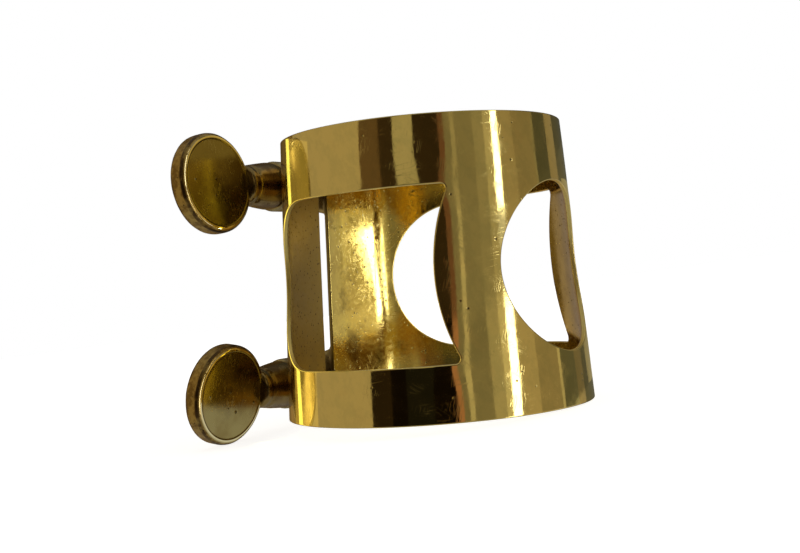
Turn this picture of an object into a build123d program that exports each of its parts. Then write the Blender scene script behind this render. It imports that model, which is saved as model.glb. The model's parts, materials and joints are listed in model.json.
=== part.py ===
from build123d import *
import math
import os

# Saxophone ligature: a sprung brass band that clamps a reed to a mouthpiece.
# Frame: the tube's axis is Z and the wide rim lies in the plane z = 0, centred on the origin.
# The split that the screws close is at -Y, the round window faces +Y, and both
# screws lie along X with their thumb heads at the +X end.  Millimetres.

# band
WIDE_RIM_R = 13.0          # outer radius at the wide rim
NARROW_RIM_R = 11.92       # outer radius at the narrow rim
BAND_HEIGHT = 23.4
SHEET = 0.4                # thickness of the sheet brass
REED_SIDE_SHIFT = 0.60     # centre of the flatter reed-side arc, as a share of WIDE_RIM_R
REED_SIDE_R = 1.53         # radius of that arc, as a share of WIDE_RIM_R
CORNER_R = 0.50            # radius of the two bends beside it, as a share of WIDE_RIM_R
SPLIT_GAP = 1.26           # gap between the two edges of the band, screws at rest
FLEX_GAP = 0.08            # clearance between the two rigid halves that stand in for the spring

# windows
WINDOW_LOW = 4.4           # top edge of the wide band
WINDOW_HIGH = 18.0         # bottom edge of the narrow band
ROUND_R = 6.8              # round window opposite the split
RIGHT_D_END_AT = 114.0     # degrees from +Y to the centre of the right window's round end
LEFT_D_END_AT = 107.5      # and of the left window's
STRIP_AT = 54.0            # degrees from +Y to the bulged edge of a side window
STRIP_EDGE_R = 14.45       # radius of that bulged edge
STRIP_BULGE = 0.78         # how far the bulge passes STRIP_AT
WINDOW_CORNER_R = 0.4

# screws
SCREW_R = 1.5              # M3 x 0.5 thread, crest radius
RUNNING_CLEARANCE = 0.08   # radial, in the plain lugs
TILT_CLEARANCE = 0.28      # radial, in the threaded lugs, which tilt as the band flexes
UPPER_SCREW_Z = 20.35
LOWER_SCREW_Z = 2.65
UPPER_OFF_WALL = 2.62      # screw axis, outwards from the wall at the split
LOWER_OFF_WALL = 2.42
SCREW_TAIL = 1.6           # thread left standing out of the threaded lug
COLLAR_NECK_R = 1.7        # collar where it holds the head
COLLAR_R = 2.1             # collar where it faces the plain lug
COLLAR_LENGTH = 3.75
COLLAR_BEVEL = 0.15
UPPER_COLLAR_GAP = 0.38    # between the collar and the plain lug
LOWER_COLLAR_GAP = 0.06
TIP_BEVEL = 0.4            # at the screw's free end
HEAD_R = 4.25
HEAD_THICKNESS = 1.6
HEAD_EDGE_R = 0.45
HEAD_DISH = 0.12           # depth of the shallow dish in each face of the head
HEAD_SEAT = 0.6            # how deep the head's rim sits in the collar's slot
UPPER_HEAD_TURN = 3.0      # degrees the upper head stands turned from the Z direction
LOWER_HEAD_TURN = -9.0

# lugs
LUG_R = 2.25
LUG_LENGTH = 2.7
LUG_EDGE_R = 0.3
FOOT_FLARE = 0.3           # how much wider the foot is at the band than at the barrel
FOOT_REACH = 0.95          # how far the foot runs past the barrel towards the middle of the band

TAPER = math.degrees(math.atan2(WIDE_RIM_R - NARROW_RIM_R, BAND_HEIGHT))
WINDOW_MID = (WINDOW_LOW + WINDOW_HIGH) / 2
LUG_INNER_X = SPLIT_GAP / 2 + 0.27
LUG_OUTER_X = LUG_INNER_X + LUG_LENGTH
TAIL_X = -(LUG_OUTER_X + SCREW_TAIL)


def direction(degrees_from_y):
    """Unit vector in the rim plane, turned from +Y towards +X."""
    a = math.radians(degrees_from_y)
    return Vector(math.sin(a), math.cos(a), 0)


def bend_angles():
    """Where the main arc meets each corner bend, and where that bend meets the reed side."""
    from_axis = 1 - CORNER_R
    from_reed_centre = REED_SIDE_R - CORNER_R
    cosine = (from_axis**2 + REED_SIDE_SHIFT**2 - from_reed_centre**2) / (2 * from_axis * REED_SIDE_SHIFT)
    first = math.acos(cosine)
    across = from_axis * math.sin(first)
    along = from_axis * math.cos(first) - REED_SIDE_SHIFT
    return math.degrees(first), math.degrees(math.atan2(across, along))


def tube_section(inset):
    """Closed outline at the wide rim, inset from the outer surface: four tangent arcs and a long one."""
    first, second = bend_angles()
    corner = direction(first) * WIDE_RIM_R * (1 - CORNER_R)
    reed_centre = (0, WIDE_RIM_R * REED_SIDE_SHIFT)
    with BuildSketch() as sketch:
        with BuildLine():
            CenterArc((0, 0), WIDE_RIM_R - inset, 90 - first, 2 * first)
            CenterArc((corner.X, corner.Y), WIDE_RIM_R * CORNER_R - inset, 90 - second, second - first)
            CenterArc((-corner.X, corner.Y), WIDE_RIM_R * CORNER_R - inset, 90 + first, second - first)
            CenterArc(reed_centre, WIDE_RIM_R * REED_SIDE_R - inset, 90 + second, 360 - 2 * second)
        make_face()
    return sketch.sketch


def tapered(section):
    """A filled tube that narrows evenly from the wide rim to the narrow rim."""
    return extrude(section, amount=BAND_HEIGHT, taper=TAPER)


def radial_hole(degrees_from_y, radius, across=0.0):
    """Round cutter from the axis outwards, shifted sideways by `across` in the rim plane."""
    outwards = direction(degrees_from_y)
    sideways = direction(degrees_from_y + 90) * across
    plane = Plane(origin=Vector(0, 0, WINDOW_MID) + sideways, z_dir=outwards)
    return plane * Cylinder(radius, 2 * WIDE_RIM_R, align=(Align.CENTER, Align.CENTER, Align.MIN))


def side_window(end_at):
    """D-shaped window on the +X side: straight above and below, round towards the split, bulged at the strip."""
    near, far = 0.5 * WIDE_RIM_R, 1.5 * WIDE_RIM_R
    sweep = (STRIP_AT - 12, (STRIP_AT + end_at) / 2, end_at)
    ring = [direction(at) * far for at in sweep] + [direction(at) * near for at in reversed(sweep)]
    corners = [(corner.X, corner.Y) for corner in ring]
    slab = Pos(0, 0, WINDOW_LOW) * extrude(make_face(Polyline(*corners, close=True)), WINDOW_HIGH - WINDOW_LOW)
    strip = radial_hole(STRIP_AT, STRIP_EDGE_R, STRIP_BULGE - STRIP_EDGE_R)
    slab = slab - strip
    outwards = direction(STRIP_AT)
    radial_edges = [
        edge
        for edge in slab.edges().filter_by(GeomType.LINE)
        if abs((edge % 0.5).dot(outwards)) > 0.999 and abs((edge @ 0.5).Z - WINDOW_MID) > 1
    ]
    slab = fillet(radial_edges, WINDOW_CORNER_R)
    return slab + radial_hole(end_at, (WINDOW_HIGH - WINDOW_LOW) / 2)


def band_half(side, outside, inside):
    """The band on one side of the YZ plane: side is 1 for +X and -1 for -X."""
    half = outside - inside
    half -= radial_hole(0, ROUND_R)
    half -= side_window(RIGHT_D_END_AT) if side > 0 else mirror(side_window(LEFT_D_END_AT), about=Plane.YZ)
    deep = 2 * WIDE_RIM_R
    keep_front = Pos(side * SPLIT_GAP / 2, -deep / 2, 0) * Box(
        deep, deep, 3 * BAND_HEIGHT, align=(Align.MIN if side > 0 else Align.MAX, Align.CENTER, Align.CENTER)
    )
    keep_back = Pos(side * FLEX_GAP / 2, deep / 2, 0) * Box(
        deep, deep, 3 * BAND_HEIGHT, align=(Align.MIN if side > 0 else Align.MAX, Align.CENTER, Align.CENTER)
    )
    return half & (keep_front + keep_back)


def wall_at_split(z):
    """Y of the band's outer surface beside the split."""
    return -(WIDE_RIM_R * (REED_SIDE_R - REED_SIDE_SHIFT) - z * math.tan(math.radians(TAPER)))


def screw_y(z):
    return wall_at_split(z) - (UPPER_OFF_WALL if z > WINDOW_MID else LOWER_OFF_WALL)


def neck_x(z):
    """X of the collar's end that holds the thumb head."""
    return LUG_OUTER_X + (UPPER_COLLAR_GAP if z > WINDOW_MID else LOWER_COLLAR_GAP) + COLLAR_LENGTH


def along_x(x, z):
    """Plane whose normal is +X, centred on the screw axis at height z."""
    return Plane(origin=(x, screw_y(z), z), x_dir=(0, 1, 0), z_dir=(1, 0, 0))


def lug(side, z, bore_r, outside):
    """Barrel on a foot that is shaped to the outside of the band and stands beside the split."""
    start = LUG_INNER_X if side > 0 else -LUG_OUTER_X
    barrel = along_x(start, z) * Cylinder(LUG_R, LUG_LENGTH, align=(Align.CENTER, Align.CENTER, Align.MIN))
    barrel = fillet(barrel.edges().filter_by(GeomType.CIRCLE), LUG_EDGE_R)
    middle = side * (LUG_INNER_X + LUG_OUTER_X) / 2
    narrow = Plane(origin=(middle, screw_y(z), z), x_dir=(1, 0, 0), z_dir=(0, 1, 0))
    foot_z = z + math.copysign(FOOT_REACH / 2, WINDOW_MID - z)
    wide = Plane(origin=(middle, wall_at_split(z) + 1.5, foot_z), x_dir=(1, 0, 0), z_dir=(0, 1, 0))
    with BuildPart() as foot:
        with BuildSketch(narrow):
            RectangleRounded(LUG_LENGTH - 2 * LUG_EDGE_R, 2 * LUG_R - 0.4, LUG_EDGE_R)
        with BuildSketch(wide):
            RectangleRounded(LUG_LENGTH + FOOT_FLARE, 2 * LUG_R + FOOT_REACH, LUG_EDGE_R)
        loft()
    bore = along_x(start - 1, z) * Cylinder(bore_r, LUG_LENGTH + 2, align=(Align.CENTER, Align.CENTER, Align.MIN))
    return barrel + foot.part - outside - bore


def screw_shank(z, head):
    """Thread-sized shank with a collar that bears on the plain lug and is slotted for the head."""
    end = neck_x(z)
    start = end - COLLAR_LENGTH
    with BuildPart() as shank:
        with BuildSketch(Plane.XY):
            with BuildLine():
                Polyline(
                    (TAIL_X, 0),
                    (TAIL_X, SCREW_R - TIP_BEVEL),
                    (TAIL_X + TIP_BEVEL, SCREW_R),
                    (start, SCREW_R),
                    (start, COLLAR_R - COLLAR_BEVEL),
                    (start + COLLAR_BEVEL, COLLAR_R),
                    (end, COLLAR_NECK_R),
                    (end, 0),
                    close=True,
                )
            make_face()
        revolve(axis=Axis.X)
    return Pos(0, screw_y(z), z) * shank.part - head


def thumb_head(z, turn):
    """Flat round paddle with a shallow dish in each face; the screw's axis lies in its plane."""
    disc = Cylinder(HEAD_R, HEAD_THICKNESS)
    disc = fillet(disc.edges().filter_by(GeomType.CIRCLE), HEAD_EDGE_R)
    ball_r = (HEAD_R - HEAD_EDGE_R) ** 2 / (2 * HEAD_DISH)
    dish = Pos(0, 0, HEAD_THICKNESS / 2 - HEAD_DISH + ball_r) * Sphere(ball_r)
    paddle = Rot(90, 0, 0) * (disc - dish - mirror(dish, about=Plane.XY))
    return Pos(neck_x(z) - HEAD_SEAT + HEAD_R, screw_y(z), z) * Rot(turn, 0, 0) * paddle


def build_nodes():
    outside = tapered(tube_section(0))
    inside = tapered(tube_section(SHEET))
    nodes = {
        "band_right_half": band_half(1, outside, inside),
        "band_left_half": band_half(-1, outside, inside),
    }
    for level, z, turn in (("upper", UPPER_SCREW_Z, UPPER_HEAD_TURN), ("lower", LOWER_SCREW_Z, LOWER_HEAD_TURN)):
        nodes[f"{level}_plain_lug"] = lug(1, z, SCREW_R + RUNNING_CLEARANCE, outside)
        nodes[f"{level}_threaded_lug"] = lug(-1, z, SCREW_R + TILT_CLEARANCE, outside)
        head = thumb_head(z, turn)
        nodes[f"{level}_thumb_head"] = head
        nodes[f"{level}_screw_shank"] = screw_shank(z, head)
    return nodes


os.makedirs("parts", exist_ok=True)
for name, shape in build_nodes().items():
    export_step(shape, f"parts/{name}.step")
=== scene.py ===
import json
import math

import bmesh
import bpy
import numpy as np
from mathutils import Matrix, Vector, geometry, noise


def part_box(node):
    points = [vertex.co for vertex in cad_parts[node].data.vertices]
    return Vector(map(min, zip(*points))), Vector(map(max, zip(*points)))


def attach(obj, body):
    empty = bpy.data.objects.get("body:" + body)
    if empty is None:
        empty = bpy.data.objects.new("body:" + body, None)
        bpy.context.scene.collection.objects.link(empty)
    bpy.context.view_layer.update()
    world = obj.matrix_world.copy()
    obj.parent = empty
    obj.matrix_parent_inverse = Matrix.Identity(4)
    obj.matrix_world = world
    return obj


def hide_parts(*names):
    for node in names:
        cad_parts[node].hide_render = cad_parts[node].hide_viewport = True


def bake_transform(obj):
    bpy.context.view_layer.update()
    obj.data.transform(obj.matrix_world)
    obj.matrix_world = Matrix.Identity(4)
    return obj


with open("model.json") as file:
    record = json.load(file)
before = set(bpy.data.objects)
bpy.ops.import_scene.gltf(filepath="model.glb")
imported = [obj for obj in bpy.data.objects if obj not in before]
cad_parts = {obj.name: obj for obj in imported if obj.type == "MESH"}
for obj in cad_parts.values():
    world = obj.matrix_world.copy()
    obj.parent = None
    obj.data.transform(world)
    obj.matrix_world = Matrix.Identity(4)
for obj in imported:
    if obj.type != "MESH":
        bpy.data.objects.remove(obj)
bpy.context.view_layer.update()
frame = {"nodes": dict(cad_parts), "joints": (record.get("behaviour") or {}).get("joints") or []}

MM = 0.001
JOINTS = {joint["name"]: joint for joint in frame["joints"]}

# ---------------------------------------------------------------- sizes, in millimetres

BAND_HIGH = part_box("band_right_half")[1] / MM
WIDE_RIM_R = BAND_HIGH.x
BAND_HEIGHT = BAND_HIGH.z
SHEET = 0.4
NARROWING = 13.0 - 11.92           # how much smaller the narrow rim's radius is
TAPER = NARROWING / 23.4           # inwards per millimetre of height
SPLIT_GAP = 1.26
REED_SIDE_SHIFT = 0.60             # section arcs as shares of the wide rim's radius, as in the CAD
REED_SIDE_R = 1.53
CORNER_R = 0.50

WINDOW_LOW, WINDOW_HIGH = 4.4, 18.0
WINDOW_MID = (WINDOW_LOW + WINDOW_HIGH) / 2
WINDOW_HALF = (WINDOW_HIGH - WINDOW_LOW) / 2
ROUND_R = 6.8
D_END_AT = {1: 114.0, -1: 107.5}   # degrees round from +Y, for the right and the left window
STRIP_EDGE_AT = 57.6
STRIP_EDGE_R = 14.45
WINDOW_CORNER_R = 0.4
SPLIT_CORNER_R = 0.5
CORNER_LIFT = 0.045                # how far the sheet stands out at the side windows' strip corners
CORNER_LIFT_R = 1.5
SLOW_DENT, QUICK_DENT = 0.020, 0.006    # depths of the long and the short waves in the sheet
SKIN_INSET = 0.02                  # of the outer face from the CAD's, before the waves
EDGE_R = 0.11                      # rounding of every cut edge of the sheet
EDGE_STEPS = 4
OUTLINE_STEP = 0.2
FINE_STEP = 0.1                    # along the outline at small corners
GRID_STEP = 0.36
ROW_SPACING = 0.866                # of a triangular grid, as a share of its step
CLEAR_OF_EDGE = 0.55               # no grid point nearer to an edge, as a share of the step

PITCH = 0.5
THREAD_DEPTH = 0.28
ROOT_FLAT, FLANK = 0.12, 0.72      # shares of half a pitch
THREAD_STEPS = 12                  # rows of points in one turn of the thread
PLAIN_SHANK = 3 * PITCH            # between the thread's end and the collar
SCREW_R = 1.5
TIP_BEVEL = 0.4
TIP_RADII = (0.4, 0.9)             # rows of points on the flat tip
FIRST_ROW = 0.04                   # from the flat tip to the next row of points
COLLAR_R, COLLAR_NECK_R = 2.1, 1.7
COLLAR_LENGTH = 3.75
# The collar's outline: how far it is past COLLAR_R, then past COLLAR_NECK_R, at each distance from its
# bearing face.
BEARING_OUTLINE = [(-0.16, 0.0), (-0.06, 0.02), (-0.01, 0.08), (0.0, 0.18), (-0.02, 0.5), (-0.08, 1.1)]
BEARING_OUTLINE += [(-0.17, 1.8)]
NECK_OUTLINE = [(0.12, 2.5), (0.08, 2.78), (0.02, 2.86), (-0.02, 2.96), (0.01, 3.1), (0.02, 3.3), (0.0, 3.5)]
NECK_OUTLINE += [(-0.12, 3.68), (-0.5, COLLAR_LENGTH)]
COLLAR_END_R = 0.3                 # last row of points, on the end that the head hides
COLLAR_WOBBLE = 0.015
HEAD_R = 4.25
HEAD_THICKNESS = 1.6
HEAD_EDGE_R = 0.45
HEAD_DISH = 0.12
DISH_RISE = 0.55                   # share of the dish's depth that its floor rises towards the lip
HEAD_LIP = 0.16                    # width of the lip round the dish
DISH_ROWS, HEAD_EDGE_ROWS = 22, 12
DISH_FIRST_R = 0.25                # innermost row of points
HEAD_WOBBLE = 0.02
HEAD_UNDERSIZE = 0.012             # keeps the wobble inside the CAD's radius
HEAD_TURN = {"upper": 3.0, "lower": -9.0}    # degrees that each head stands turned from upright
HEAD_SEED = {"upper": 58.0, "lower": 46.0}
AROUND = 96                        # points round every turned piece

LUG_VOXEL = 0.075
LUG_MERGE = 0.002                  # points nearer to each other than this become one
LUG_SMOOTHING, LUG_SMOOTH_ROUNDS = 0.5, 6
SOLDER_R = 0.2
SOLDER_MEAN, SOLDER_SWELL = 0.85, 0.5   # shares of SOLDER_R: the bead's usual radius and how it varies
SOLDER_STEP = 0.16
SOLDER_INSET = 0.15                # from the edges of the lug's box
SOLDER_LOWEST = 0.45               # above the wide rim
RIM_MARGIN = 0.4                   # below the narrow rim


# ---------------------------------------------------------------- the band

class Section:
    """The tube's outer outline halfway up the windows, walked by arc length from +Y; +X is positive."""

    def __init__(self):
        inset = WINDOW_MID * TAPER
        first = self.bend_angle(1 - CORNER_R, REED_SIDE_R - CORNER_R)
        across = (1 - CORNER_R) * math.sin(first)
        along = (1 - CORNER_R) * math.cos(first) - REED_SIDE_SHIFT
        second = math.atan2(across, along)
        corner = (WIDE_RIM_R * across, WIDE_RIM_R * (along + REED_SIDE_SHIFT))
        reed = (0.0, WIDE_RIM_R * REED_SIDE_SHIFT)
        arcs = [
            ((0.0, 0.0), WIDE_RIM_R - inset, 0.0, first),
            (corner, WIDE_RIM_R * CORNER_R - inset, first, second),
            (reed, WIDE_RIM_R * REED_SIDE_R - inset, second, math.pi),
        ]
        self.arcs = []
        start = 0.0
        for centre, radius, low, high in arcs:
            self.arcs.append((start, centre, radius, low))
            start += radius * (high - low)
        self.half_length = start - SPLIT_GAP / 2
        self.radius = arcs[0][1]

    @staticmethod
    def bend_angle(from_axis, from_reed):
        cosine = (from_axis**2 + REED_SIDE_SHIFT**2 - from_reed**2) / (2 * from_axis * REED_SIDE_SHIFT)
        return math.acos(cosine)

    def at(self, s):
        """Points and outward normals in the rim plane for an array of arc lengths."""
        side = np.sign(s) + (s == 0)
        length = np.abs(s)
        point = np.zeros((len(s), 2))
        normal = np.zeros((len(s), 2))
        for start, centre, radius, low in self.arcs:
            here = length >= start
            angle = low + (length - start) / radius
            n = np.stack([np.sin(angle), np.cos(angle)], 1)
            p = np.array(centre) + radius * n
            normal[here] = n[here]
            point[here] = p[here]
        point[:, 0] *= side
        normal[:, 0] *= side
        return point, normal


SECTION = Section()


def waviness(s, z):
    """Hand-rolled sheet is never quite true: dents of up to 0.03 mm, of arbitrary lengths and phases."""
    slow = np.sin(0.33 * s + 0.21 * z + 0.6) * np.sin(0.17 * z - 0.11 * s + 1.9)
    quick = np.sin(0.83 * s - 0.47 * z + 2.2) * np.sin(0.29 * s + 0.71 * z)
    corner = SECTION.radius * math.radians(STRIP_EDGE_AT)
    above = ((np.abs(s) - corner) ** 2 + (z - WINDOW_HIGH) ** 2) / CORNER_LIFT_R**2
    below = ((np.abs(s) - corner) ** 2 + (z - WINDOW_LOW) ** 2) / CORNER_LIFT_R**2
    return SLOW_DENT * slow + QUICK_DENT * quick + CORNER_LIFT * (np.exp(-above) + np.exp(-below))


def on_sheet(s, z, depth):
    """From the flat pattern to the rolled sheet; depth runs inwards from the outer face."""
    point, normal = SECTION.at(s)
    inwards = (z - WINDOW_MID) * TAPER + depth + SKIN_INSET - waviness(s, z)
    return np.column_stack([point - normal * inwards[:, None], z])


def arc_points(centre, radius, low, high, step=OUTLINE_STEP):
    """Points along an arc in the flat pattern, angles in degrees, without its last point."""
    count = max(3, round(math.radians(abs(high - low)) * radius / step))
    angles = np.radians(np.linspace(low, high, count, endpoint=False))
    return np.column_stack([centre[0] + radius * np.cos(angles), centre[1] + radius * np.sin(angles)])


def straight(a, b, step=OUTLINE_STEP):
    count = max(1, round(math.dist(a, b) / step))
    t = np.linspace(0, 1, count, endpoint=False)[:, None]
    return np.array(a) * (1 - t) + np.array(b) * t


def round_window():
    """A round punch through the curved sheet, laid out flat."""
    hole = arc_points((0.0, WINDOW_MID), ROUND_R, 0, 360)
    hole[:, 0] = SECTION.radius * np.arcsin(hole[:, 0] / SECTION.radius)
    return hole


def side_window(side):
    """Anticlockwise outline: bulged strip edge, straight top and bottom, round end towards the split."""
    end = SECTION.radius * math.radians(D_END_AT[side])
    bulge = SECTION.radius * math.radians(STRIP_EDGE_AT)
    strip = (bulge - STRIP_EDGE_R, WINDOW_MID)
    r = WINDOW_CORNER_R
    corner_z = WINDOW_HALF - r
    corner_s = strip[0] + math.sqrt((STRIP_EDGE_R + r) ** 2 - corner_z**2)
    lean = math.degrees(math.atan2(corner_z, corner_s - strip[0]))
    high, low = WINDOW_MID + corner_z, WINDOW_MID - corner_z
    loop = np.concatenate([
        arc_points((end, WINDOW_MID), WINDOW_HALF, -90, 90),
        straight((end, WINDOW_HIGH), (corner_s, WINDOW_HIGH)),
        arc_points((corner_s, high), r, 90, 180 + lean, FINE_STEP),
        arc_points(strip, STRIP_EDGE_R, lean, -lean),
        arc_points((corner_s, low), r, 180 - lean, 270, FINE_STEP),
        straight((corner_s, WINDOW_LOW), (end, WINDOW_LOW)),
    ])
    return loop if side > 0 else (loop * (-1, 1))[::-1]


def sheet_outline():
    """The whole strip of sheet, anticlockwise, with slightly rounded corners at the split."""
    s, r, top = SECTION.half_length, SPLIT_CORNER_R, BAND_HEIGHT
    return np.concatenate([
        arc_points((s - r, r), r, -90, 0, FINE_STEP),
        straight((s, r), (s, top - r)),
        arc_points((s - r, top - r), r, 0, 90, FINE_STEP),
        straight((s - r, top), (r - s, top)),
        arc_points((r - s, top - r), r, 90, 180, FINE_STEP),
        straight((-s, top - r), (-s, r)),
        arc_points((r - s, r), r, 180, 270, FINE_STEP),
        straight((r - s, 0), (s - r, 0)),
    ])


def into_metal(loop, hole):
    """Unit vectors in the flat pattern that point from an outline into the metal."""
    along = np.roll(loop, -1, 0) - np.roll(loop, 1, 0)
    along /= np.linalg.norm(along, axis=1)[:, None]
    left = np.column_stack([-along[:, 1], along[:, 0]])
    return -left if hole else left


def inside(points, loop):
    """Which points lie inside a closed outline."""
    x, y = points[:, 0][:, None], points[:, 1][:, None]
    ax, ay = loop[:, 0], loop[:, 1]
    bx, by = np.roll(ax, -1), np.roll(ay, -1)
    crosses = ((ay > y) != (by > y)) & (x < (bx - ax) * (y - ay) / (by - ay + 1e-12) + ax)
    return crosses.sum(1) % 2 == 1


def nearest(points, loop):
    """Distance from each point to the nearest outline point, in blocks to save memory."""
    out = np.empty(len(points))
    size = 2000
    for i in range(0, len(points), size):
        block = points[i:i + size]
        out[i:i + size] = np.sqrt(((block[:, None] - loop[None]) ** 2).sum(2)).min(1)
    return out


def flat_pattern():
    """Triangles over the sheet, inset from every cut edge by the edge rounding, and the loops round them."""
    loops = [(sheet_outline(), False)]
    loops += [(window, True) for window in (round_window(), side_window(1), side_window(-1))]
    inset = [loop + EDGE_R * into_metal(loop, hole) for loop, hole in loops]
    rows = int(BAND_HEIGHT / (GRID_STEP * ROW_SPACING))
    cols = int(2 * SECTION.half_length / GRID_STEP)
    z, s = np.meshgrid(np.linspace(0, BAND_HEIGHT, rows), np.linspace(-1, 1, cols) * SECTION.half_length)
    s = s + (np.arange(rows) % 2)[None, :] * GRID_STEP / 2
    grid = np.column_stack([s.ravel(), z.ravel()])
    keep = inside(grid, inset[0])
    for loop in inset[1:]:
        keep &= ~inside(grid, loop)
    grid = grid[keep]
    grid = grid[nearest(grid, np.concatenate(inset)) > CLEAR_OF_EDGE * GRID_STEP]
    points = np.concatenate(inset + [grid])
    edges = []
    start = 0
    for loop in inset:
        count = len(loop)
        edges += [(start + i, start + (i + 1) % count) for i in range(count)]
        start += count
    found = geometry.delaunay_2d_cdt([Vector(p) for p in points], edges, [], 0, 1e-6)
    triangles = np.array(found[2])
    middle = points[triangles].mean(1)
    keep = inside(middle, inset[0])
    for loop in inset[1:]:
        keep &= ~inside(middle, loop)
    return loops, points, triangles[keep]


def unit(v):
    return v / np.linalg.norm(v, axis=1)[:, None]


def sheet_frame(flat, depth, direction=None):
    """Outward normals of the rolled sheet, and a flat direction carried onto it."""
    step = 0.01
    at = on_sheet(flat[:, 0], flat[:, 1], depth)
    ds = on_sheet(flat[:, 0] + step, flat[:, 1], depth) - at
    dz = on_sheet(flat[:, 0], flat[:, 1] + step, depth) - at
    normal = unit(np.cross(ds, dz))
    outwards = np.stack([at[:, 0], at[:, 1], 0 * at[:, 0]], 1)
    normal *= np.sign((normal * outwards).sum(1))[:, None]
    carried = None if direction is None else unit(ds * direction[:, :1] + dz * direction[:, 1:])
    return at, normal, carried


def make_band():
    """One sheet: an outer and an inner skin over the flat pattern, joined by rounded cut edges."""
    loops, points, triangles = flat_pattern()
    zero = np.zeros(len(points))
    outer, normal, _ = sheet_frame(points, zero)
    inner, _, _ = sheet_frame(points, zero + SHEET)
    coords, normals, flats = [outer, inner], [normal, -normal], [points, points]
    depths = [zero, zero + SHEET]
    faces = [tuple(t[::-1]) for t in triangles] + [tuple(t + len(points)) for t in triangles]
    total = 2 * len(points)
    loop_start = 0
    quarter = [(math.pi / 2 * k / EDGE_STEPS) for k in range(1, EDGE_STEPS + 1)]
    for loop, hole in loops:
        count = len(loop)
        inwards = into_metal(loop, hole)
        ring_starts = [loop_start]
        profile = [(EDGE_R * (1 - math.sin(a)), EDGE_R * (1 - math.cos(a)), a) for a in quarter]
        profile += [(d, SHEET - depth, math.pi - a) for d, depth, a in reversed(profile)]
        for distance, depth, turn in profile:
            flat = loop + distance * inwards
            at, n, edge = sheet_frame(flat, np.full(count, depth), -inwards)
            coords.append(at)
            normals.append(math.cos(turn) * n + math.sin(turn) * edge)
            flats.append(flat)
            depths.append(np.full(count, depth))
            ring_starts.append(total)
            total += count
        ring_starts.append(loop_start + len(points))
        for a, b in zip(ring_starts, ring_starts[1:]):
            for i in range(count):
                j = (i + 1) % count
                quad = (a + i, b + i, b + j, a + j)
                faces.append(quad if hole else quad[::-1])
        loop_start += count
    coords = np.concatenate(coords) * MM
    mesh = bpy.data.meshes.new("band")
    mesh.from_pydata(coords.tolist(), [], faces)
    flat = np.concatenate(flats)
    add_pattern(mesh, np.column_stack([flat, np.concatenate(depths)]) * MM)
    mesh.shade_smooth()
    mesh.normals_split_custom_set_from_vertices(unit(np.concatenate(normals)).tolist())
    return new_object("band", mesh)


def add_pattern(mesh, values):
    """Coordinates that the material follows, which stay with the metal when it moves."""
    attribute = mesh.attributes.new("pattern", "FLOAT_VECTOR", "POINT")
    attribute.data.foreach_set("vector", np.asarray(values, np.float32).ravel())


def new_object(name, mesh):
    obj = bpy.data.objects.new(name, mesh)
    bpy.context.scene.collection.objects.link(obj)
    return obj


# ---------------------------------------------------------------- screws and thumb heads

def revolve(radii, along, wobble=0.0, seed=0.0):
    """Points round the X axis, one row for each place along it; radii may differ round each row."""
    angle = np.linspace(0, 2 * math.pi, AROUND, endpoint=False)
    radii = np.broadcast_to(np.asarray(radii, float).reshape(len(along), -1), (len(along), AROUND)).copy()
    x = np.broadcast_to(np.asarray(along, float)[:, None], radii.shape)
    if wobble:
        for i, j in np.ndindex(*radii.shape):
            at = Vector((x[i, j], radii[i, j] * math.cos(angle[j]), radii[i, j] * math.sin(angle[j]) + seed))
            radii[i, j] += wobble * noise.noise(at)
    return np.stack([x, radii * np.cos(angle), radii * np.sin(angle)], 2)


def turned_mesh(name, rows):
    """A closed skin over rows of points round an axis; the first and the last row close to a point."""
    count, around, _ = rows.shape
    points = rows.reshape(-1, 3)
    ends = np.array([rows[0].mean(0), rows[-1].mean(0)])
    faces = []
    for i in range(count - 1):
        for j in range(around):
            k = (j + 1) % around
            faces.append((i * around + j, i * around + k, (i + 1) * around + k, (i + 1) * around + j))
    first, last = len(points), len(points) + 1
    for j in range(around):
        k = (j + 1) % around
        faces.append((first, k, j))
        faces.append((last, (count - 1) * around + j, (count - 1) * around + k))
    coords = np.concatenate([points, ends])
    mesh = bpy.data.meshes.new(name)
    mesh.from_pydata((coords * MM).tolist(), [], [face[::-1] for face in faces])
    add_pattern(mesh, coords * MM)
    mesh.shade_smooth()
    return mesh


def thread_radii(along, stop):
    """Radius round each row of a right-handed V thread that runs out smoothly at stop."""
    angle = np.linspace(0, 1, AROUND, endpoint=False)
    phase = (along[:, None] / PITCH - angle[None, :]) % 1
    flank = np.clip((np.abs(2 * phase - 1) - ROOT_FLAT) / FLANK, 0, 1)
    runout = np.clip((stop - along[:, None]) / PITCH, 0, 1)
    return SCREW_R - THREAD_DEPTH * (1 - flank) * runout


def make_screw(level):
    """Threaded shank, the collar that bears on the plain lug, and its end that is brazed to the head."""
    low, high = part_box(f"{level}_screw_shank")
    tail, end = low.x / MM, high.x / MM
    start = end - COLLAR_LENGTH
    step = PITCH / THREAD_STEPS
    shank = np.arange(tail + FIRST_ROW, start, step)
    radii = thread_radii(shank, start - PLAIN_SHANK)
    tip = SCREW_R - TIP_BEVEL + (shank - tail)
    radii = np.minimum(radii, tip[:, None])
    rows = [revolve(TIP_RADII, [tail, tail]), revolve(radii, shank)]
    collar = [(SCREW_R, 0.0)]
    collar += [(COLLAR_R + more, away) for more, away in BEARING_OUTLINE]
    collar += [(COLLAR_NECK_R + more, away) for more, away in NECK_OUTLINE]
    collar += [(COLLAR_END_R, COLLAR_LENGTH)]
    profile = np.array(collar)
    rows.append(revolve(profile[:, :1], start + profile[:, 1], COLLAR_WOBBLE, 3.0))
    mesh = turned_mesh(f"{level}_screw", np.concatenate(rows))
    return place_on_axis(new_object(f"{level}_screw", mesh), level)


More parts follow.
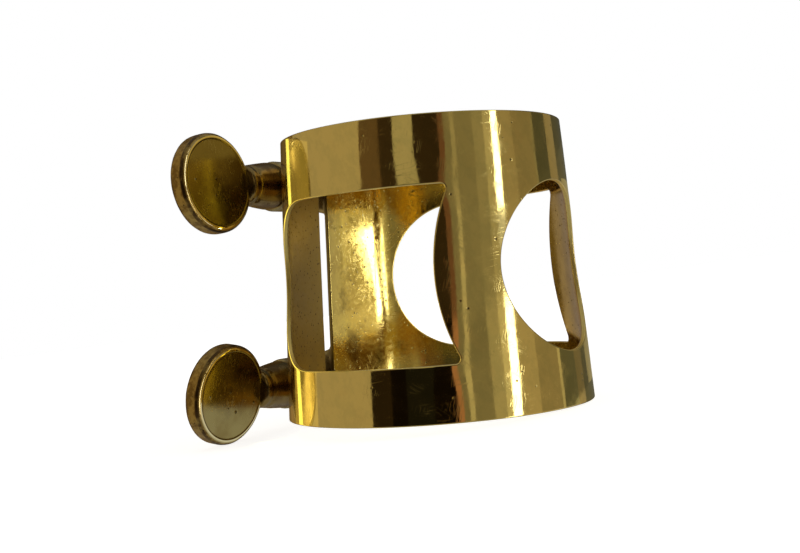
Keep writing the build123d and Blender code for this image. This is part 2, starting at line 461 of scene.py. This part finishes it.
def place_on_axis(piece, level, x=0.0, turn=0.0):
    """Moves a piece that was made on the X axis to a screw's axis, with its mesh holding the place."""
    _, y, z = JOINTS[f"{level}_screw_turn"]["pos_m"]
    move = Matrix.Translation((x, y, z)) @ Matrix.Rotation(math.radians(turn), 4, "X")
    piece.data.transform(move)
    return piece


def head_profile():
    """Half the head's section from the middle of its face to the middle of its rim, as (radius, height)."""
    face_r = HEAD_R - HEAD_EDGE_R
    top = HEAD_THICKNESS / 2
    floor_r = face_r - HEAD_LIP
    radii = np.linspace(DISH_FIRST_R, floor_r, DISH_ROWS)
    dish = [(r, top - HEAD_DISH * (1 - DISH_RISE * (r / face_r) ** 2)) for r in radii]
    edge = dish[-1][1]
    rise = [(floor_r + 0.07, edge + 0.3 * (top - edge)), (face_r - 0.05, top - 0.008), (face_r, top)]
    rise += [(face_r + 0.04, top - 0.012)]
    turns = np.radians(np.linspace(10, 90, HEAD_EDGE_ROWS))
    centre = top - HEAD_EDGE_R
    round_edge = [(face_r + HEAD_EDGE_R * math.sin(a), centre + HEAD_EDGE_R * math.cos(a)) for a in turns]
    side = [(HEAD_R, centre * share) for share in (0.6, 0.2)]
    return np.array(dish + rise + round_edge + side)


def make_head(level):
    """Round paddle with a dished face each side, brazed edge-on into the collar."""
    half = head_profile()
    profile = np.concatenate([half, (half * (1, -1))[::-1]])
    rows = revolve(profile[:, :1] - HEAD_UNDERSIZE, -profile[:, 1], HEAD_WOBBLE, HEAD_SEED[level])
    mesh = turned_mesh(f"{level}_thumb_head", rows)
    mesh.transform(Matrix.Rotation(math.pi / 2, 4, "Z"))
    low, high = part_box(f"{level}_thumb_head")
    return place_on_axis(new_object(f"{level}_head", mesh), level, (low.x + high.x) / 2, HEAD_TURN[level])


# ---------------------------------------------------------------- lugs

def reed_side_lookup():
    """X on the reed side and the arc length there, both for the +X half and in rising order of X."""
    s = np.linspace(0, SECTION.half_length + 1, 800)
    point, _ = SECTION.at(s)
    reed = s > 0.6 * s[-1]
    return point[reed][::-1, 0], s[reed][::-1]


REED_X, REED_S = reed_side_lookup()


def solder_line(low, high):
    """Points on the band's outer face round the foot of a lug, where the solder stands."""
    side = 1 if high.x > 0 else -1
    x0, x1 = sorted((abs(low.x) / MM, abs(high.x) / MM))
    at_wide_rim = low.z / MM < WINDOW_LOW / 2
    z0 = SOLDER_LOWEST if at_wide_rim else low.z / MM + SOLDER_INSET
    z1 = min(high.z / MM, BAND_HEIGHT - RIM_MARGIN) - SOLDER_INSET
    corners = [(x0, z0), (x1, z0), (x1, z1), (x0, z1), (x0, z0)]
    path = np.concatenate([straight(a, b, SOLDER_STEP) for a, b in zip(corners, corners[1:])])
    s = side * np.interp(path[:, 0], REED_X, REED_S)
    return on_sheet(s, path[:, 1], np.zeros(len(path)))


def make_lug(name):
    """The CAD lug with softened edges and a bead of solder round its foot."""
    low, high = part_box(name)
    work = bmesh.new()
    work.from_mesh(frame["nodes"][name].data)
    bmesh.ops.remove_doubles(work, verts=work.verts, dist=LUG_MERGE * MM)
    for x, y, z in solder_line(low, high):
        size = SOLDER_R * (SOLDER_MEAN + SOLDER_SWELL * noise.noise(Vector((x, y, z)) * 1.3))
        place = Matrix.Translation(Vector((x, y, z)) * MM)
        bmesh.ops.create_icosphere(work, subdivisions=2, radius=size * MM, matrix=place)
    mesh = bpy.data.meshes.new(name)
    work.to_mesh(mesh)
    work.free()
    piece = new_object(name.replace("_lug", "_lug_soldered"), mesh)
    remesh = piece.modifiers.new("remesh", "REMESH")
    remesh.mode = "VOXEL"
    remesh.voxel_size = LUG_VOXEL * MM
    smooth = piece.modifiers.new("smooth", "SMOOTH")
    smooth.factor = LUG_SMOOTHING
    smooth.iterations = LUG_SMOOTH_ROUNDS
    apply_modifiers(piece)
    piece.data.shade_smooth()
    return piece


def apply_modifiers(piece):
    bpy.context.view_layer.update()
    final = bpy.data.meshes.new_from_object(piece.evaluated_get(bpy.context.evaluated_depsgraph_get()))
    piece.modifiers.clear()
    piece.data = final
    coords = np.empty(3 * len(final.vertices), np.float32)
    final.vertices.foreach_get("co", coords)
    add_pattern(final, coords)


band = make_band()
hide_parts("band_right_half", "band_left_half")
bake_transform(band)

# ---------------------------------------------------------------- materials

class Graph:
    """A short way to write a procedural metal; positions reach its textures in millimetres."""

    def __init__(self, name):
        self.material = bpy.data.materials.new(name)
        self.material.use_nodes = True
        self.tree = self.material.node_tree
        self.shader = self.tree.nodes["Principled BSDF"]
        pattern = self.node("Attribute", {"attribute_name": "pattern"})
        inputs = {0: pattern.outputs["Vector"], "Scale": 1 / MM}
        scale = self.node("VectorMath", {"operation": "SCALE"}, inputs)
        self.at = scale.outputs[0]

    def node(self, kind, settings=None, inputs=None):
        made = self.tree.nodes.new("ShaderNode" + kind)
        for key, value in (settings or {}).items():
            setattr(made, key, value)
        for key, value in (inputs or {}).items():
            self.feed(made.inputs[key], value)
        return made

    def feed(self, socket, value):
        if isinstance(value, bpy.types.NodeSocket):
            self.tree.links.new(value, socket)
        else:
            socket.default_value = value

    def math(self, operation, a, b=0.0):
        return self.node("Math", {"operation": operation}, {0: a, 1: b}).outputs[0]

    def length(self, a, b):
        return self.math("SQRT", self.math("ADD", self.math("POWER", a, 2.0), self.math("POWER", b, 2.0)))

    def remap(self, value, low, high, new_low=0.0, new_high=1.0):
        ends = {"Value": value, 1: low, 2: high, 3: new_low, 4: new_high}
        return self.node("MapRange", {"interpolation_type": "SMOOTHSTEP"}, ends).outputs[0]

    def mix(self, share, a, b):
        a, b = (c if isinstance(c, bpy.types.NodeSocket) else (*c, 1.0) for c in (a, b))
        made = self.node("Mix", {"data_type": "RGBA"}, {"Factor": share})
        self.feed(made.inputs[6], a)
        self.feed(made.inputs[7], b)
        return made.outputs[2]

    def noise(self, scale, detail=2.0, at=None, roughness=0.5):
        made = self.node("TexNoise", None, {"Vector": at or self.at, "Scale": scale, "Detail": detail})
        made.inputs["Roughness"].default_value = roughness
        return made.outputs["Factor" if "Factor" in made.outputs else "Fac"]

    def stretched(self, scale, turn, move=0.0):
        """Coordinates turned in the sheet's own plane and stretched."""
        turned = self.node("Mapping", None, {"Vector": self.at, "Rotation": (0, 0, math.radians(turn))})
        placed = {"Vector": turned.outputs[0], "Scale": scale, "Location": (move, move, move)}
        return self.node("Mapping", None, placed).outputs[0]

    def moved(self, distance):
        """The same coordinates elsewhere, so that two noises of one scale don't agree."""
        return self.stretched((1, 1, 1), 0, distance)

    def patch(self, middle, size, along, up):
        """A blurred oval on the flat pattern with a ragged edge, 1 in its middle."""
        across = self.math("DIVIDE", self.math("SUBTRACT", along, middle[0]), size[0])
        rise = self.math("DIVIDE", self.math("SUBTRACT", up, middle[1]), size[1])
        away = self.length(across, rise)
        ragged = self.math("ADD", away, self.math("MULTIPLY", self.noise(0.9, 4.0), 1.2))
        return self.remap(ragged, 0.9, 1.7, 1.0, 0.0)

    def scratches(self, length, width, turn, amount, seed):
        """Hair lines: level lines of a stretched noise, kept only in patches."""
        at = self.stretched((1 / length, 1 / width, 1 / length), turn, seed)
        off = self.math("ABSOLUTE", self.math("SUBTRACT", self.noise(1.0, 1.0, at), 0.5))
        line = self.remap(off, 0.0, 0.028, 1.0, 0.0)
        patches = self.noise(0.55, 1.0, self.moved(5 * seed))
        patch = self.remap(patches, 0.62 - amount, 0.72 - amount)
        return self.math("MULTIPLY", line, patch)

    def pits(self, size, share, seed, smallest=0.12):
        """Small round pits: a share of the cells of a cell texture, each with its own size."""
        at = self.moved(seed)
        cells = self.node("TexVoronoi", None, {"Vector": at, "Scale": 1 / size})
        pick = self.node("SeparateColor", None, {0: cells.outputs["Color"]}).outputs
        radius = self.math("ADD", self.math("MULTIPLY", pick[1], 0.18), smallest)
        depth = self.math("SUBTRACT", 1.0, self.math("DIVIDE", cells.outputs["Distance"], radius))
        chosen = self.math("LESS_THAN", pick[0], share)
        return self.math("MULTIPLY", self.remap(depth, 0.0, 0.7), chosen)

    def bump(self, height, depth, normal=None):
        """Height 1 stands a depth, in millimetres, above height 0."""
        made = self.node("Bump", None, {"Height": height, "Strength": 1.0, "Distance": depth * MM})
        if normal is not None:
            self.feed(made.inputs["Normal"], normal)
        return made.outputs[0]

    def finish(self, colour, roughness, normal):
        self.feed(self.shader.inputs["Base Color"], colour)
        self.feed(self.shader.inputs["Roughness"], roughness)
        self.feed(self.shader.inputs["Normal"], normal)
        self.shader.inputs["Metallic"].default_value = 1.0
        return self.material


BRASS = (0.87, 0.68, 0.24)
TARNISH = (0.74, 0.56, 0.18)
COPPERY = (0.82, 0.58, 0.20)
DULL = (0.66, 0.55, 0.20)
STAIN_AND_SHADE = (0.20, 0.14, 0.05)
PIT = (0.05, 0.03, 0.01)
INSIDE_BRASS = (0.85, 0.67, 0.19)
INSIDE_TARNISH = (0.74, 0.57, 0.16)
BROWNED = (0.25, 0.165, 0.04)
RIM_BRASS = (0.50, 0.33, 0.09)
RIM_BROWN = (0.26, 0.15, 0.035)
PAINTED_SHADE = (0.09, 0.05, 0.02)
WEAR_AND_HIGHLIGHT = (0.96, 0.82, 0.42)
SCRATCH = (0.70, 0.60, 0.30)


def band_material():
    """Lacquered sheet brass: clean and finely scratched outside, stained and pitted inside, painted shade at
    the split's edges.
    """
    g = Graph("band_brass")
    half = SECTION.half_length
    along, up, depth = g.node("SeparateXYZ", None, {0: g.at}).outputs
    within = g.remap(depth, 0.3, 0.38)
    clouds = g.noise(0.12, 3.0)
    colour = g.mix(g.remap(clouds, 0.45, 0.7, 0.0, 0.45), BRASS, TARNISH)
    colour = g.mix(g.remap(g.noise(0.4, 4.0, g.moved(7)), 0.55, 0.75, 0.0, 0.3), colour, COPPERY)
    wiped = g.remap(g.noise(0.9, 6.0, g.stretched((1, 0.6, 1), 20, 27.0), 0.7), 0.42, 0.62, 0.0, 0.4)
    colour = g.mix(wiped, colour, DULL)
    dulled = g.mix(g.remap(g.noise(0.5, 4.0, g.moved(17)), 0.4, 0.65), INSIDE_BRASS, INSIDE_TARNISH)
    colour = g.mix(within, colour, dulled)
    browned = g.remap(along, 0.5 * half, 0.68 * half, 0.0, 0.95)
    colour = g.mix(g.math("MULTIPLY", within, browned), colour, BROWNED)
    dirt = g.math("MULTIPLY", within, g.remap(g.noise(0.35, 5.0, roughness=0.7), 0.52, 0.72, 0.0, 0.5))
    colour = g.mix(dirt, colour, STAIN_AND_SHADE)
    old_stain = g.patch((2.8 - half, 5.2), (1.3, 2.2), along, up)
    colour = g.mix(g.math("MULTIPLY", g.math("MULTIPLY", within, old_stain), 0.75), colour, STAIN_AND_SHADE)
    # Painted shade: the cut edges at the split are darkened towards the stain colour.
    split_edge_shade = g.remap(g.math("ABSOLUTE", along), half - 0.1, half - 0.04)
    colour = g.mix(g.math("MULTIPLY", split_edge_shade, 0.85), colour, STAIN_AND_SHADE)
    outside_pits = g.pits(size=0.55, share=0.035, seed=3.0)
    near_split = g.remap(along, 0.55 * half, 0.8 * half, 0.14, 0.45)
    inside_pits = g.math("MULTIPLY", within, g.pits(size=0.30, share=near_split, seed=9.0, smallest=0.24))
    pits = g.math("MAXIMUM", outside_pits, inside_pits)
    colour = g.mix(g.math("MULTIPLY", pits, 0.95), colour, PIT)
    lines = g.scratches(length=5.0, width=0.40, turn=8, amount=0.05, seed=2.0)
    lines = g.math("MAXIMUM", lines, g.scratches(length=2.4, width=0.30, turn=74, amount=0.07, seed=4.0))
    lines = g.math("MAXIMUM", lines, g.scratches(length=1.6, width=0.26, turn=-38, amount=0.07, seed=8.0))
    rough = g.remap(g.noise(0.9, 5.0, roughness=0.65), 0.35, 0.68, 0.03, 0.10)
    grain = g.remap(g.noise(3.0, 4.0, g.moved(23)), 0.35, 0.65, 0.04, 0.13)
    grain = g.math("ADD", grain, g.math("MULTIPLY", browned, 0.26))
    rough = g.math("ADD", rough, g.math("MULTIPLY", within, grain))
    cut = g.math("MULTIPLY", g.remap(depth, 0.05, 0.10), g.remap(depth, 0.30, 0.35, 1.0, 0.0))
    rough = g.math("ADD", rough, g.math("MULTIPLY", cut, 0.35))
    rough = g.math("ADD", rough, g.math("MULTIPLY", lines, 0.12))
    rough = g.math("ADD", rough, g.math("MULTIPLY", pits, 0.3))
    normal = g.bump(g.noise(0.7, 2.0), 0.004)
    normal = g.bump(g.math("SUBTRACT", 1.0, lines), 0.0009, normal)
    normal = g.bump(g.math("SUBTRACT", 1.0, pits), 0.02, normal)
    normal = g.bump(g.noise(9.0, 3.0), 0.0006, normal)
    return g.finish(colour, rough, normal)


def head_material(name, face, smudged):
    """Thumb head: a dull olive face with smudges and scratches, a worn edge with painted highlight, painted
    shade behind it, a browned pitted rim.
    """
    g = Graph(name)
    place = g.node("SeparateXYZ", None, {0: g.at}).outputs
    from_middle = g.length(place[1], place[2])
    face_r = HEAD_R - HEAD_EDGE_R
    rim = g.remap(from_middle, face_r + 0.14, face_r + 0.24)
    # The edge ring is partly wear and partly a painted highlight: a near-white colour all round the face's
    # edge.
    wear_and_highlight = g.remap(from_middle, face_r - 0.05, face_r + 0.02)
    wear_and_highlight = g.math("MULTIPLY", wear_and_highlight, g.math("SUBTRACT", 1.0, rim))
    smudge = g.noise(0.5, 4.0, g.stretched((1, 0.35, 1), 90, 3.0))
    colour = g.mix(g.remap(smudge, 0.4, 0.7), face, smudged)
    colour = g.mix(g.math("MULTIPLY", wear_and_highlight, 0.95), colour, WEAR_AND_HIGHLIGHT)
    mottled = g.remap(g.noise(1.6, 5.0, roughness=0.65), 0.42, 0.62)
    browned = g.mix(mottled, RIM_BRASS, RIM_BROWN)
    colour = g.mix(rim, colour, browned)
    # Painted shade goes by height off the head's middle plane: full just behind the bright edge ring, and
    # half as strong in the lowest part of each dish.
    height = g.math("ABSOLUTE", place[0])
    shade_band = g.remap(height, 0.36, 0.46)
    shade_band = g.math("MULTIPLY", shade_band, g.remap(height, 0.64, 0.72, 1.0, 0.0))
    ragged = g.remap(g.noise(1.1, 4.0, g.moved(31), 0.6), 0.38, 0.58, 0.25, 0.95)
    colour = g.mix(g.math("MULTIPLY", shade_band, ragged), colour, PAINTED_SHADE)
    pits = g.math("MULTIPLY", rim, g.pits(size=0.42, share=0.5, seed=2.0))
    pits = g.math("MAXIMUM", pits, g.pits(size=0.6, share=0.10, seed=6.0))
    colour = g.mix(g.math("MULTIPLY", pits, 0.8), colour, PIT)
    lines = g.scratches(length=1.8, width=0.24, turn=65, amount=0.12, seed=3.0)
    lines = g.math("MAXIMUM", lines, g.scratches(length=1.2, width=0.20, turn=120, amount=0.10, seed=6.0))
    colour = g.mix(g.math("MULTIPLY", lines, 0.16), colour, SCRATCH)
    rough = g.remap(smudge, 0.3, 0.7, 0.15, 0.24)
    rough = g.math("SUBTRACT", rough, g.math("MULTIPLY", wear_and_highlight, 0.14))
    rough = g.math("ADD", rough, g.math("MULTIPLY", rim, 0.16))
    rough = g.math("ADD", rough, g.math("MULTIPLY", lines, 0.15))
    normal = g.bump(g.noise(0.9, 2.0), 0.005)
    normal = g.bump(g.math("SUBTRACT", 1.0, lines), 0.001, normal)
    normal = g.bump(g.math("SUBTRACT", 1.0, pits), 0.035, normal)
    return g.finish(colour, rough, normal)


def turned_material(name, clean, dull, dark, low_rough, high_rough):
    """Tarnished turned or soldered brass with faint tool marks, dark in patches."""
    g = Graph(name)
    patches = g.remap(g.noise(0.6, 5.0, roughness=0.6), 0.4, 0.65)
    colour = g.mix(patches, clean, dull)
    spots = g.remap(g.noise(2.2, 5.0, g.moved(13), 0.7), 0.56, 0.7)
    colour = g.mix(g.math("MULTIPLY", spots, 0.8), colour, dark)
    marks = g.noise(1.0, 3.0, g.stretched((9, 0.6, 0.6), 0, 4))
    rough = g.remap(g.math("ADD", patches, g.math("MULTIPLY", marks, 0.4)), 0.2, 1.3, low_rough, high_rough)
    pits = g.pits(size=0.4, share=0.18, seed=4.0)
    normal = g.bump(marks, 0.004)
    normal = g.bump(g.noise(2.5, 4.0), 0.008, normal)
    normal = g.bump(g.math("SUBTRACT", 1.0, pits), 0.02, normal)
    return g.finish(colour, rough, normal)


BAND_BRASS = band_material()
# The two heads are one brass; the upper head's face colours are darker than the lower head's, and this
# difference is painted light and shade.
HEAD_BRASS = {
    "upper": head_material("upper_head_brass", face=(0.29, 0.23, 0.08), smudged=(0.23, 0.17, 0.05)),
    "lower": head_material("lower_head_brass", face=(0.38, 0.295, 0.095), smudged=(0.32, 0.235, 0.07)),
}
SCREW_BRASS = turned_material(
    "screw_brass", clean=(0.31, 0.21, 0.07), dull=(0.20, 0.12, 0.04), dark=(0.08, 0.05, 0.02),
    low_rough=0.15, high_rough=0.32,
)
LUG_BRASS = turned_material(
    "lug_brass", clean=(0.46, 0.37, 0.18), dull=(0.30, 0.23, 0.11), dark=(0.12, 0.09, 0.06),
    low_rough=0.22, high_rough=0.42,
)

band.data.materials.append(BAND_BRASS)

for level in ("upper", "lower"):
    screw = make_screw(level)
    screw.data.materials.append(SCREW_BRASS)
    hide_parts(f"{level}_screw_shank")
    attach(screw, f"{level}_screw")
    head = make_head(level)
    head.data.materials.append(HEAD_BRASS[level])
    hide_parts(f"{level}_thumb_head")
    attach(head, f"{level}_screw")
    for kind, body in (("plain", "right_side"), ("threaded", "left_side")):
        lug = make_lug(f"{level}_{kind}_lug")
        lug.data.materials.append(LUG_BRASS)
        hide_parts(f"{level}_{kind}_lug")
        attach(lug, body)

# ---------------------------------------------------------------- camera, floor, light

CAMERA_AZIMUTH = 58.65             # degrees from +Y towards +X
CAMERA_DISTANCE = 98.46            # from the tube's axis, in millimetres
CAMERA_HEIGHT = 10.49
CAMERA_YAW, CAMERA_PITCH, CAMERA_ROLL = -1.54, 0.50, -4.65
CAMERA_LENS = 51.8
SENSOR_WIDTH = 36.0
CLIP_START = 0.005


def camera_axes():
    """Unit vectors from the tube's axis: towards the camera, and to the right in its picture."""
    toward = math.radians(CAMERA_AZIMUTH)
    out = Vector((math.sin(toward), math.cos(toward), 0))
    return out, Vector((-out.y, out.x, 0))


def add_camera():
    out, right = camera_axes()
    yaw, pitch, roll = (math.radians(a) for a in (CAMERA_YAW, CAMERA_PITCH, CAMERA_ROLL))
    forward = math.cos(pitch) * (right * math.sin(yaw) - out * math.cos(yaw))
    forward += Vector((0, 0, math.sin(pitch)))
    level = right * math.cos(yaw) + out * math.sin(yaw)
    above = level.cross(forward)
    side = level * math.cos(roll) + above * math.sin(roll)
    above = above * math.cos(roll) - level * math.sin(roll)
    data = bpy.data.cameras.new("camera")
    data.sensor_width = SENSOR_WIDTH
    data.lens = CAMERA_LENS
    data.clip_start = CLIP_START
    camera = bpy.data.objects.new("camera", data)
    bpy.context.scene.collection.objects.link(camera)
    rotation = Matrix((side, above, -forward)).transposed()
    place = (out * CAMERA_DISTANCE + Vector((0, 0, CAMERA_HEIGHT))) * MM
    camera.matrix_world = Matrix.Translation(place) @ rotation.to_4x4()
    bpy.context.scene.camera = camera


add_camera()


def glow(name, colour, strength):
    material = bpy.data.materials.new(name)
    material.use_nodes = True
    nodes = material.node_tree.nodes
    nodes.clear()
    emission = nodes.new("ShaderNodeEmission")
    emission.inputs["Color"].default_value = (*colour, 1)
    emission.inputs["Strength"].default_value = strength
    output = nodes.new("ShaderNodeOutputMaterial")
    material.node_tree.links.new(emission.outputs[0], output.inputs["Surface"])
    return material


TENT_R = 300.0
TIERS = (-35.0, -6.0, 2.5, 9.0, 48.0)          # degrees up to the edges of the tent's four tiers
LOW_MARK, HIGH_MARK = -2.0, 13.0   # degrees up at which each panel's edge is given
LEAN_STOPS = -10.0                 # below this the edges run straight down
PANEL_STEP = 4                     # degrees between a panel's columns
PANEL_ROWS = 5

WHITE = (1.0, 1.0, 1.0)
CREAM = (1.0, 0.84, 0.55)
TAN = (1.0, 0.64, 0.33)
AMBER = (1.0, 0.66, 0.24)
COPPER = (1.0, 0.50, 0.30)
OLIVE = (1.0, 0.90, 0.62)
COOL = (0.92, 0.90, 0.66)

# Panels side by side, clockwise seen from above.  Each starts at its own edge, which leans: azimuths from
# the camera's side, positive to its right, at the low and the high mark.  Then a tint, and the brightness
# of its four tiers from the table upwards.
PANELS = [
    ("far_left", -180, -180, AMBER, (0.20, 0.10, 0.10, 0.10)),
    ("left_shade", -150, -150, AMBER, (0.30, 0.14, 0.14, 0.14)),
    ("left_wall", -118, -124, CREAM, (0.38, 0.38, 0.38, 0.38)),
    ("left_corner", -50, -48, TAN, (0.12, 0.02, 0.09, 0.11)),
    ("doorway", -34, -32, TAN, (0.05, 0.005, 0.02, 0.035)),
    ("poster", -23, -21, OLIVE, (0.05, 0.01, 0.10, 0.36)),
    ("camera_side", -5, -5, TAN, (0.10, 0.005, 0.03, 0.03)),
    ("curtain_edge", 12, 15, COPPER, (0.20, 0.36, 0.14, 0.14)),
    ("curtain", 16, 19, OLIVE, (0.20, 0.18, 0.20, 0.20)),
    ("curtain_fold", 20, 24, OLIVE, (0.35, 0.46, 0.46, 0.32)),
    ("curtain_end", 23.5, 27, OLIVE, (0.20, 0.20, 0.22, 0.21)),
    ("window_side", 37, 41, OLIVE, (0.36, 0.36, 0.25, 0.27)),
    ("window_frame", 46, 50, OLIVE, (0.60, 0.58, 0.36, 0.42)),
    ("window", 51, 57, WHITE, (4.6, 4.6, 0.55, 4.6)),
    ("window_wall", 58, 62.5, CREAM, (0.55, 0.38, 0.34, 0.30)),
    ("right_wall", 75, 76, CREAM, (0.50, 0.26, 0.24, 0.23)),
    ("wall_edge", 96.5, 97, OLIVE, (0.45, 0.45, 0.26, 0.24)),
    ("right_corner", 99.5, 99.5, COOL, (0.42, 0.12, 0.10, 0.09)),
    ("right_shelf", 119, 118, CREAM, (0.36, 0.17, 0.26, 0.27)),
    ("far_right", 132, 132, COOL, (0.13, 0.10, 0.12, 0.09)),
    ("end", 180, 180, COOL, (0.13, 0.10, 0.12, 0.09)),
]


def tent_point(edge, elevation):
    """A point of the tent on an edge that leans; the tent stands round the middle of the band."""
    out, right = camera_axes()
    share = (max(elevation, LEAN_STOPS) - LOW_MARK) / (HIGH_MARK - LOW_MARK)
    a = math.radians(edge[0] + (edge[1] - edge[0]) * share)
    flat = out * math.cos(a) + right * math.sin(a)
    return (flat * TENT_R + Vector((0, 0, WINDOW_MID + TENT_R * math.tan(math.radians(elevation))))) * MM


def tent_panel(name, edges, elevations, colour, strength):
    """One glowing piece of the tent, which only reflections and light see."""
    steps, rows = max(2, int((edges[1][0] - edges[0][0]) / PANEL_STEP)), PANEL_ROWS
    points, faces = [], []
    for elevation in np.linspace(*elevations, rows + 1):
        for share in np.linspace(0, 1, steps + 1):
            edge = [low + (high - low) * share for low, high in zip(*edges)]
            points.append(tent_point(edge, elevation))
    for i, j in np.ndindex(rows, steps):
        k = i * (steps + 1) + j
        faces.append((k, k + 1, k + steps + 2, k + steps + 1))
    mesh = bpy.data.meshes.new(name)
    mesh.from_pydata(points, [], faces)
    mesh.materials.append(glow(name, colour, strength))
    panel = new_object(name, mesh)
    panel.visible_camera = False
    panel.visible_shadow = False


def make_tent():
    """Light and dark panels all round: what polished metal shows of a plain room with one window."""
    for (name, *start, colour, levels), (_, *stop, _, _) in zip(PANELS, PANELS[1:]):
        for tier, level in enumerate(levels):
            tent_panel(f"{name}_{tier}", (start, stop), TIERS[tier:tier + 2], colour, level)


make_tent()


def lamp(name, low, high, toward, width, colour, radiance):
    """A flat one-sided light whose middle line runs between two points, in millimetres."""
    low, high, toward = Vector(low), Vector(high), Vector(toward).normalized()
    up = (high - low).normalized()
    side = up.cross(-toward).normalized()
    data = bpy.data.lights.new(name, "AREA")
    data.shape = "RECTANGLE"
    data.size, data.size_y = width * MM, (high - low).length * MM
    data.color = colour
    # Blender asks for the power, which is pi times the radiance times the area.
    data.energy = radiance * math.pi * data.size * data.size_y
    light = bpy.data.objects.new(name, data)
    bpy.context.scene.collection.objects.link(light)
    rotation = Matrix((side, (-toward).cross(side), -toward)).transposed()
    light.matrix_world = Matrix.Translation((low + high) / 2 * MM) @ rotation.to_4x4()
    light.visible_camera = False


# Each lamp's name, the two ends of its middle line, the way it faces, its width, colour and radiance.
LAMPS = [
    # A yellow strip and a weak glow beside it, outside the band on the thumb heads' side of the split.
    ("strip_lamp", (10.9, -11.3, -3.0), (8.6, -11.3, 24.0), (0.12, 1.0, 0.0), 0.8, (1.0, 0.98, 0.26), 1.35),
    ("strip_glow", (12.3, -11.2, -3.0), (11.6, -11.2, 24.0), (0.12, 1.0, 0.0), 5.4, (1.0, 0.78, 0.22), 0.22),
    # A bright one beside the far side window and partly inside the band, which lights its inside, and a
    # weak one outside that window.  From behind, the bright one shows as a white sliver at its edge.
    ("inner_lamp", (-8.6, 7.0, 6.0), (-11.8, 7.0, 16.0), (0.25, -1.0, 0.0), 2.6, WHITE, 9.0),
    ("far_window", (-14.0, -3.0, 4.0), (-14.0, -3.0, 18.0), (1.0, 0.1, 0.0), 13.0, (0.85, 0.78, 1.0), 0.16),
    # A large blue one far off, and a small warm one just above the narrow rim, both facing the thumb heads.
    ("table_glow", (-170.0, 150.0, -130.0), (-187.0, 166.0, -33.0), (0.745, -0.665, 0.1), 190.0,
     (0.42, 0.50, 0.95), 0.40),
    ("head_glow", (-0.5, -5.5, 24.0), (-0.5, -5.5, 34.0), (0.745, -0.665, 0.0), 14.0,
     (1.0, 0.68, 0.12), 0.32),
    # A weak warm one outside the far side of the band.  From behind, it shows as a pale rectangle.
    ("inner_fill", (-14.0, 9.0, 1.0), (-14.0, 9.0, 19.0), (0.62, -0.78, 0.0), 13.0, (1.0, 0.85, 0.45), 0.20),
]
for settings in LAMPS:
    lamp(*settings)

FLOOR_SIZE = 900.0
FLOOR_GREY = (0.8, 0.8, 0.8)
FLOOR_ROUGHNESS = 0.9
# The floor glows more with distance in metres, so that it has no horizon and still shows a shadow; its
# weaker glow near the object is a painted shade round it.
FLOOR_FADE = {"From Min": 0.02, "From Max": 0.11, "To Min": 0.84, "To Max": 1.0}
BACKDROP_R = 0.62                  # in metres
STUDIO_GREY = (0.36, 0.36, 0.35)


def make_floor():
    """A pale floor that the lower thumb head and the far side of the wide rim rest on."""
    low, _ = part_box("lower_thumb_head")
    _, y, _ = JOINTS["lower_screw_turn"]["pos_m"]
    head = Vector((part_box("lower_thumb_head")[0].x + HEAD_R * MM, y, 0))
    rim = -head.normalized() * WIDE_RIM_R * MM
    slope = low.z / (head - rim).length
    across = (head - rim).normalized()
    side = Vector((-across.y, across.x, 0))
    size = FLOOR_SIZE * MM / 2
    corners = []
    for u, v in ((-1, -1), (1, -1), (1, 1), (-1, 1)):
        at = rim + (across * u + side * v) * size
        corners.append(at + Vector((0, 0, slope * u * size)))
    mesh = bpy.data.meshes.new("floor")
    mesh.from_pydata(corners, [], [(0, 1, 2, 3)])
    floor = new_object("floor", mesh)
    material = bpy.data.materials.new("pale_floor")
    material.use_nodes = True
    floor_shader = material.node_tree.nodes["Principled BSDF"]
    floor_shader.inputs["Base Color"].default_value = (*FLOOR_GREY, 1)
    floor_shader.inputs["Roughness"].default_value = FLOOR_ROUGHNESS
    floor_shader.inputs["Emission Color"].default_value = (1, 1, 1, 1)
    graph = material.node_tree
    place = graph.nodes.new("ShaderNodeTexCoord")
    away = graph.nodes.new("ShaderNodeVectorMath")
    away.operation = "LENGTH"
    fade = graph.nodes.new("ShaderNodeMapRange")
    for socket, value in FLOOR_FADE.items():
        fade.inputs[socket].default_value = value
    graph.links.new(place.outputs["Object"], away.inputs[0])
    graph.links.new(away.outputs["Value"], fade.inputs["Value"])
    graph.links.new(fade.outputs["Result"], floor_shader.inputs["Emission Strength"])
    mesh.materials.append(material)
    floor.visible_glossy = False


def make_backdrop():
    """A plain white backdrop all round, far behind the object and its floor."""
    work = bmesh.new()
    bmesh.ops.create_icosphere(work, subdivisions=4, radius=BACKDROP_R)
    mesh = bpy.data.meshes.new("backdrop")
    work.to_mesh(mesh)
    work.free()
    backdrop = new_object("backdrop", mesh)
    mesh.materials.append(glow("white_backdrop", (1, 1, 1), 1.0))
    for ray in ("diffuse", "glossy", "transmission", "volume_scatter", "shadow"):
        setattr(backdrop, f"visible_{ray}", False)


make_floor()
make_backdrop()

world = bpy.data.worlds.new("studio")
bpy.context.scene.world = world
world.use_nodes = True
world.node_tree.nodes["Background"].inputs["Color"].default_value = (*STUDIO_GREY, 1)
bpy.context.scene.view_settings.view_transform = "Standard"
